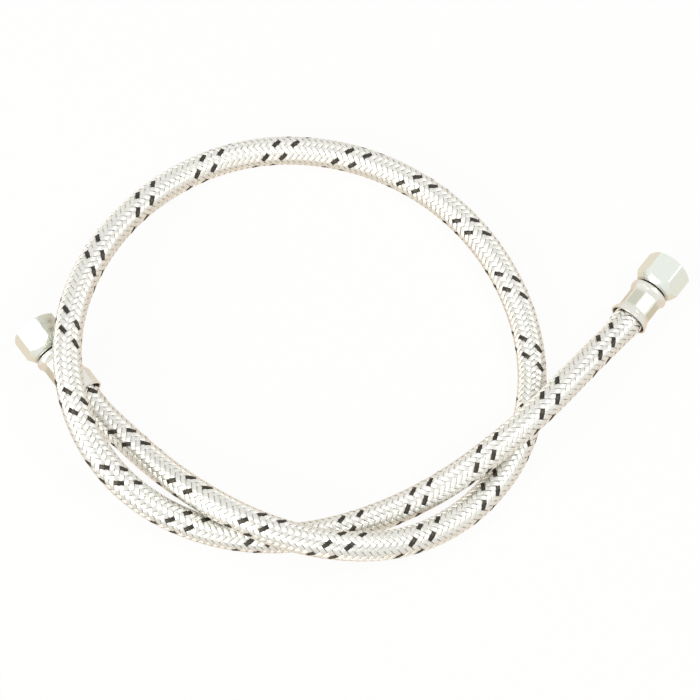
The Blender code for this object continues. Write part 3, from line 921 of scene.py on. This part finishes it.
def insert_section(side):
    """Closed section of an insert: barbed tail, groove, neck, head and cone seat, then the bore."""
    back = ferrule_length(side)
    tail_end = back - FERRULE_END_WALL - CLEARANCE
    tail_start = back - TAIL_LENGTH
    tail = HOSE_RADIUS - BRAID_WALL - LINER_WALL - CRIMP_SQUEEZE - 2 * CLEARANCE
    pitch = (tail_end - tail_start) / (BARB_COUNT + 1)
    section = [(tail_start, tail - 0.0005), (tail_start + 0.0002, tail - BARB_DEPTH)]
    for barb in range(BARB_COUNT):
        foot = tail_start + barb * pitch
        section += [(foot + 0.85 * pitch, tail), (foot + pitch, tail - BARB_DEPTH)]
    neck_start = back + CLEARANCE
    neck_end = back + NUT_GAP + NUT_SLACK + NUT_END_WALL + CLEARANCE
    head_end = neck_end + HEAD_THICKNESS
    cone = CONE_BASE_RADIUS - CONE_TIP_RADIUS
    cone_length = cone / tan(CONE_HALF_ANGLE)
    cone_end = head_end + cone_length
    section += [(tail_end, tail - BARB_DEPTH), (tail_end, GROOVE_RADIUS), (neck_start, GROOVE_RADIUS)]
    section += [(neck_start, NECK_RADIUS - 0.0002), (neck_start + 0.0002, NECK_RADIUS)]
    section += [(neck_end, NECK_RADIUS)]
    section += [(neck_end, HEAD_RADIUS - 0.0002), (neck_end + 0.0002, HEAD_RADIUS)]
    section += [(head_end - EDGE_BREAK, HEAD_RADIUS), (head_end, HEAD_RADIUS - EDGE_BREAK)]
    section += [(head_end + cone_length * k / 6, CONE_BASE_RADIUS - cone * k / 6) for k in range(7)]
    section += [(cone_end, INSERT_BORE_RADIUS + BORE_CHAMFER), (cone_end - BORE_CHAMFER, INSERT_BORE_RADIUS)]
    return section + [(tail_start, INSERT_BORE_RADIUS)]


def nut_section(side, sizes):
    """Section of the form that turns a hexagon into a nut, and the ends of its threaded bore."""
    start = ferrule_length(side) + NUT_GAP
    end = start + sizes.nut_length
    corner = sizes.across_flats / sqrt(3) + CLEARANCE
    back, front = NUT_BACK_FACE_RADIUS, NUT_CHAMFER_FACE_RADIUS
    chamfer = (corner - front) * tan(NUT_CHAMFER_ANGLE)
    taper = (corner - back) / tan(NUT_TAPER_HALF_ANGLE)
    shelf = start + NUT_END_WALL
    first = shelf + THREAD_RELIEF_LENGTH
    last = end - NUT_MOUTH_CHAMFER
    bore, relief, hole = THREAD_BORE_RADIUS, THREAD_RELIEF_RADIUS, NECK_RADIUS + CLEARANCE
    section = [(start, back - 0.0002), (start + 0.0001, back), (start + taper, corner)]
    section += [(end - chamfer, corner), (end - 0.00004, front + 0.00005), (end, front - 0.0001)]
    section += [(end, bore + NUT_MOUTH_CHAMFER), (last, bore)]
    rows = round((last - first) / (sizes.thread_pitch / 8))
    section += [(last - (last - first) * k / rows, bore) for k in range(1, rows + 1)]
    section += [(first, relief), (shelf, relief), (shelf, hole)]
    section += [(start + EDGE_BREAK, hole), (start, hole + EDGE_BREAK)]
    return section, first, last


def cut_thread(sizes, first, last):
    """The radii of a nut's form once the pipe thread's helical groove is cut into its bore."""
    def new_radius(along, angle, radius):
        phase = (along / sizes.thread_pitch - angle / (2 * pi)) % 1.0
        groove = np.clip(1.15 * (1 - np.abs(2 * phase - 1)) - 0.08, 0, 1)
        run_in = np.clip((along - first - 0.0001) / 0.0004, 0, 1)
        run_out = np.clip((last + 0.0002 - along) / 0.0006, 0, 1)
        in_bore = (np.abs(radius - THREAD_BORE_RADIUS) < 1e-5) & (along > first) & (along < last + 1e-6)
        return radius + np.where(in_bore, sizes.thread_depth * groove * run_in * run_out, 0)

    return new_radius


def hexagon(name, side, sizes):
    """A hexagon bar with slightly rounded long edges, one flat upwards, as long as the nut."""
    start = ferrule_length(side) + NUT_GAP
    length = sizes.nut_length + 2 * CLEARANCE
    deselect_all()
    middle = (0, 0, start - CLEARANCE + length / 2)
    bpy.ops.mesh.primitive_cylinder_add(
        vertices=6, radius=sizes.across_flats / sqrt(3), depth=length, location=middle)
    bar = bpy.context.object
    bar.name = name
    bar.data.name = name
    corner = bar.data.vertices[0].co
    to_flat = pi / 6 - np.arctan2(corner.y, corner.x)
    bar.rotation_euler.z = to_flat + ENDS[side]["nut_turn"]
    bpy.ops.object.transform_apply(location=True, rotation=True, scale=True)
    bpy.ops.object.mode_set(mode="EDIT")
    bpy.ops.mesh.select_all(action="DESELECT")
    bpy.ops.object.mode_set(mode="OBJECT")
    for edge in bar.data.edges:
        first, second = (bar.data.vertices[k].co for k in edge.vertices)
        edge.select = abs(first.z - second.z) > 0.5 * length
    bpy.ops.object.mode_set(mode="EDIT")
    bpy.ops.mesh.select_mode(type="EDGE")
    bpy.ops.mesh.bevel(offset=HEXAGON_EDGE_ROUNDING, segments=4)
    bpy.ops.mesh.select_mode(type="VERT")
    bpy.ops.object.mode_set(mode="OBJECT")
    return bar


class FUELHOSE_OT_ferrules(bpy.types.Operator):
    """Turns the two ferrules and presses their eight flats"""
    bl_idname = "fuel_hose.ferrules"
    bl_label = "Crimped Ferrules"

    def execute(self, context):
        sizes = context.scene.fuel_hose_fittings
        for side in ENDS:
            ferrule = turned(f"{side}_crimped_ferrule", ferrule_section(side, sizes), sides=160)
            reshape_round(ferrule, press_flats(side, sizes))
            ferrule.data.materials.append(ferrule_material(side, tuple(sizes.nickel)))
            ferrule.data.materials.append(ferrule_inside_material(side))
            for face in ferrule.data.polygons:
                outwards = Vector((face.center.x, face.center.y, 0)).dot(face.normal)
                if outwards < -0.2 * face.center.xy.length:
                    face.material_index = 1
            put_in_place(ferrule, fitting_place(side))
            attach(ferrule, "hose_assembly")
            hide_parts(f"{side}_ferrule")
        return {"FINISHED"}


class FUELHOSE_OT_inserts(bpy.types.Operator):
    """Turns the two inserts with their barbs, necks, heads and cone seats"""
    bl_idname = "fuel_hose.inserts"
    bl_label = "Inserts"

    def execute(self, context):
        sizes = context.scene.fuel_hose_fittings
        for side in ENDS:
            insert = turned(f"{side}_turned_insert", insert_section(side), sides=72)
            insert.data.materials.append(insert_material(side, tuple(sizes.insert)))
            put_in_place(insert, fitting_place(side))
            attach(insert, "hose_assembly")
            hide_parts(f"{side}_insert")
        return {"FINISHED"}


class FUELHOSE_OT_nuts(bpy.types.Operator):
    """Makes the two swivel nuts: a hexagon bar kept inside a turned and threaded form"""
    bl_idname = "fuel_hose.nuts"
    bl_label = "Swivel Nuts"

    def execute(self, context):
        sizes = context.scene.fuel_hose_fittings
        for side in ENDS:
            section, first, last = nut_section(side, sizes)
            form = turned(f"{side}_nut_form", section, sides=96)
            reshape_round(form, cut_thread(sizes, first, last))
            nut = hexagon(f"{side}_hexagon_nut", side, sizes)
            keep = nut.modifiers.new("Turned form", "BOOLEAN")
            keep.operation = "INTERSECT"
            keep.solver = "EXACT"
            keep.object = form
            apply_modifiers(nut)
            bpy.data.objects.remove(form, do_unlink=True)
            nut.data.materials.clear()
            nut.data.materials.append(nut_material(side, tuple(sizes.zinc)))
            put_in_place(nut, fitting_place(side))
            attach(nut, f"{side}_nut")
            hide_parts(f"{side}_swivel_nut")
        return {"FINISHED"}


class FUELHOSE_OT_declare_hose(bpy.types.Operator):
    bl_idname = "fuel_hose.declare_hose"
    bl_label = "Declare the Hose"

    def execute(self, context):
        line = HoseLine()
        carried = ["braid_right_hand_a", "braid_right_hand_b", "braid_left_hand_a", "braid_left_hand_b"]
        carried += ["braid_tracers", "right_crimped_ferrule", "right_turned_insert", "right_hexagon_nut"]
        return {"FINISHED"}


# Stage

def seen_share(tree):
    """1 for rays from the camera, from gloss and through glass, and 0 for the light itself."""
    ray = add_node(tree, "ShaderNodeLightPath").outputs
    seen = calculate(tree, "MAXIMUM", ray["Is Camera Ray"], ray["Is Glossy Ray"])
    return calculate(tree, "MAXIMUM", seen, ray["Is Transmission Ray"])


class FUELHOSE_OT_stage(bpy.types.Operator):
    """Makes the pale floor, the soft lamps, the white surroundings and the camera"""
    bl_idname = "fuel_hose.stage"
    bl_label = "Stage and Camera"

    def execute(self, context):
        sizes = context.scene.fuel_hose_stage
        self.add_floor(sizes)
        self.add_lights(context, sizes)
        self.add_camera(context, sizes)
        return {"FINISHED"}

    def add_floor(self, sizes):
        deselect_all()
        bpy.ops.mesh.primitive_grid_add(x_subdivisions=8, y_subdivisions=8, size=8.0, location=(0, 0, 0))
        floor = bpy.context.object
        floor.name = "pale_floor"
        surface = bpy.data.materials.new("Pale floor")
        surface.use_nodes = True
        tree = surface.node_tree
        tree.nodes.remove(tree.nodes["Principled BSDF"])
        lit = add_node(tree, "ShaderNodeBsdfDiffuse", {"Color": (*sizes.floor, 1.0), "Roughness": 0.8})
        steep = add_node(tree, "ShaderNodeLayerWeight", {"Blend": 0.5}).outputs["Facing"]
        place = add_node(tree, "ShaderNodeTexCoord").outputs["Object"]
        off_middle = add_node(tree, "ShaderNodeVectorMath", {0: place}, operation="LENGTH").outputs["Value"]
        outside = spread(tree, off_middle, 0.25, 1.0, 0.10, 0.16)
        slant = multiply(tree, spread(tree, steep, 0.0, 1.0, 0.35, 0.75), outside)
        in_metal = blend_colours(tree, slant, tuple(sizes.floor_gloss), FAR_FLOOR_GLOSS)
        straight = add_node(tree, "ShaderNodeLightPath").outputs["Is Camera Ray"]
        pale = blend_colours(tree, straight, in_metal, (1.0, 1.0, 1.0))
        white = add_node(tree, "ShaderNodeEmission", {"Color": pale, "Strength": 1.0})
        share = multiply(tree, seen_share(tree), sizes.floor_white)
        both = add_node(tree, "ShaderNodeMixShader", {0: share, 1: lit.outputs[0], 2: white.outputs[0]})
        tree.links.new(both.outputs[0], tree.nodes["Material Output"].inputs["Surface"])
        floor.data.materials.append(surface)

    def add_lights(self, context, sizes):
        for name, place, aim, size, share, colour in LAMPS:
            deselect_all()
            bpy.ops.object.light_add(type="AREA", location=place)
            lamp = bpy.context.object
            lamp.name = name
            lamp.data.shape = "SQUARE"
            lamp.data.size = size
            lamp.data.energy = sizes.lamp_power * share
            lamp.data.color = colour
            lamp.rotation_mode = "QUATERNION"
            lamp.rotation_quaternion = (Vector(place) - Vector(aim)).to_track_quat("Z", "Y")
        world = bpy.data.worlds.new("White surroundings")
        context.scene.world = world
        world.use_nodes = True
        tree = world.node_tree
        background = tree.nodes["Background"]
        background.inputs["Color"].default_value = (1.0, 1.0, 1.0, 1.0)
        tree.links.new(spread(tree, seen_share(tree), sizes.sky_strength, 1.0), background.inputs["Strength"])

    def add_camera(self, context, sizes):
        back = Vector((0, -cos(sizes.camera_elevation), sin(sizes.camera_elevation)))
        bpy.ops.object.camera_add(location=CAMERA_AIM + back * sizes.camera_distance)
        camera = bpy.context.object
        camera.rotation_mode = "QUATERNION"
        camera.rotation_quaternion = back.to_track_quat("Z", "Y")
        camera.data.lens = sizes.lens
        camera.data.sensor_width = 36
        camera.data.clip_start = 0.01
        camera.data.clip_end = 20
        context.scene.camera = camera
        context.scene.view_settings.view_transform = "Standard"


class FUELHOSE_PT_panel(bpy.types.Panel):
    bl_label = "Burner Fuel Hose"
    bl_idname = "FUELHOSE_PT_panel"
    bl_space_type = "VIEW_3D"
    bl_region_type = "UI"
    bl_category = "Fuel Hose"

    def draw(self, context):
        layout = self.layout
        for title, name in zip(("Hose", "Fittings", "Stage"), SETTINGS):
            settings = getattr(context.scene, name)
            box = layout.box()
            box.label(text=title)
            for key in settings.__annotations__:
                box.prop(settings, key)
        for operator in OPERATORS:
            layout.operator(operator.bl_idname)


SETTINGS = {
    "fuel_hose": HoseSettings,
    "fuel_hose_fittings": FittingSettings,
    "fuel_hose_stage": StageSettings,
}
OPERATORS = (
    FUELHOSE_OT_stage,
    FUELHOSE_OT_liner,
    FUELHOSE_OT_braid,
    FUELHOSE_OT_ferrules,
    FUELHOSE_OT_inserts,
    FUELHOSE_OT_nuts,
    FUELHOSE_OT_declare_hose,
)
CLASSES = (*SETTINGS.values(), *OPERATORS, FUELHOSE_PT_panel)


def register():
    for cls in CLASSES:
        bpy.utils.register_class(cls)
    for name, group in SETTINGS.items():
        setattr(bpy.types.Scene, name, bpy.props.PointerProperty(type=group))


def unregister():
    for name in SETTINGS:
        delattr(bpy.types.Scene, name)
    for cls in reversed(CLASSES):
        bpy.utils.unregister_class(cls)


def main():
    register()
    bpy.ops.fuel_hose.stage()
    bpy.ops.fuel_hose.liner()
    bpy.ops.fuel_hose.braid()
    bpy.ops.fuel_hose.ferrules()
    bpy.ops.fuel_hose.inserts()
    bpy.ops.fuel_hose.nuts()
    bpy.ops.fuel_hose.declare_hose()


if __name__ == "__main__":
    main()
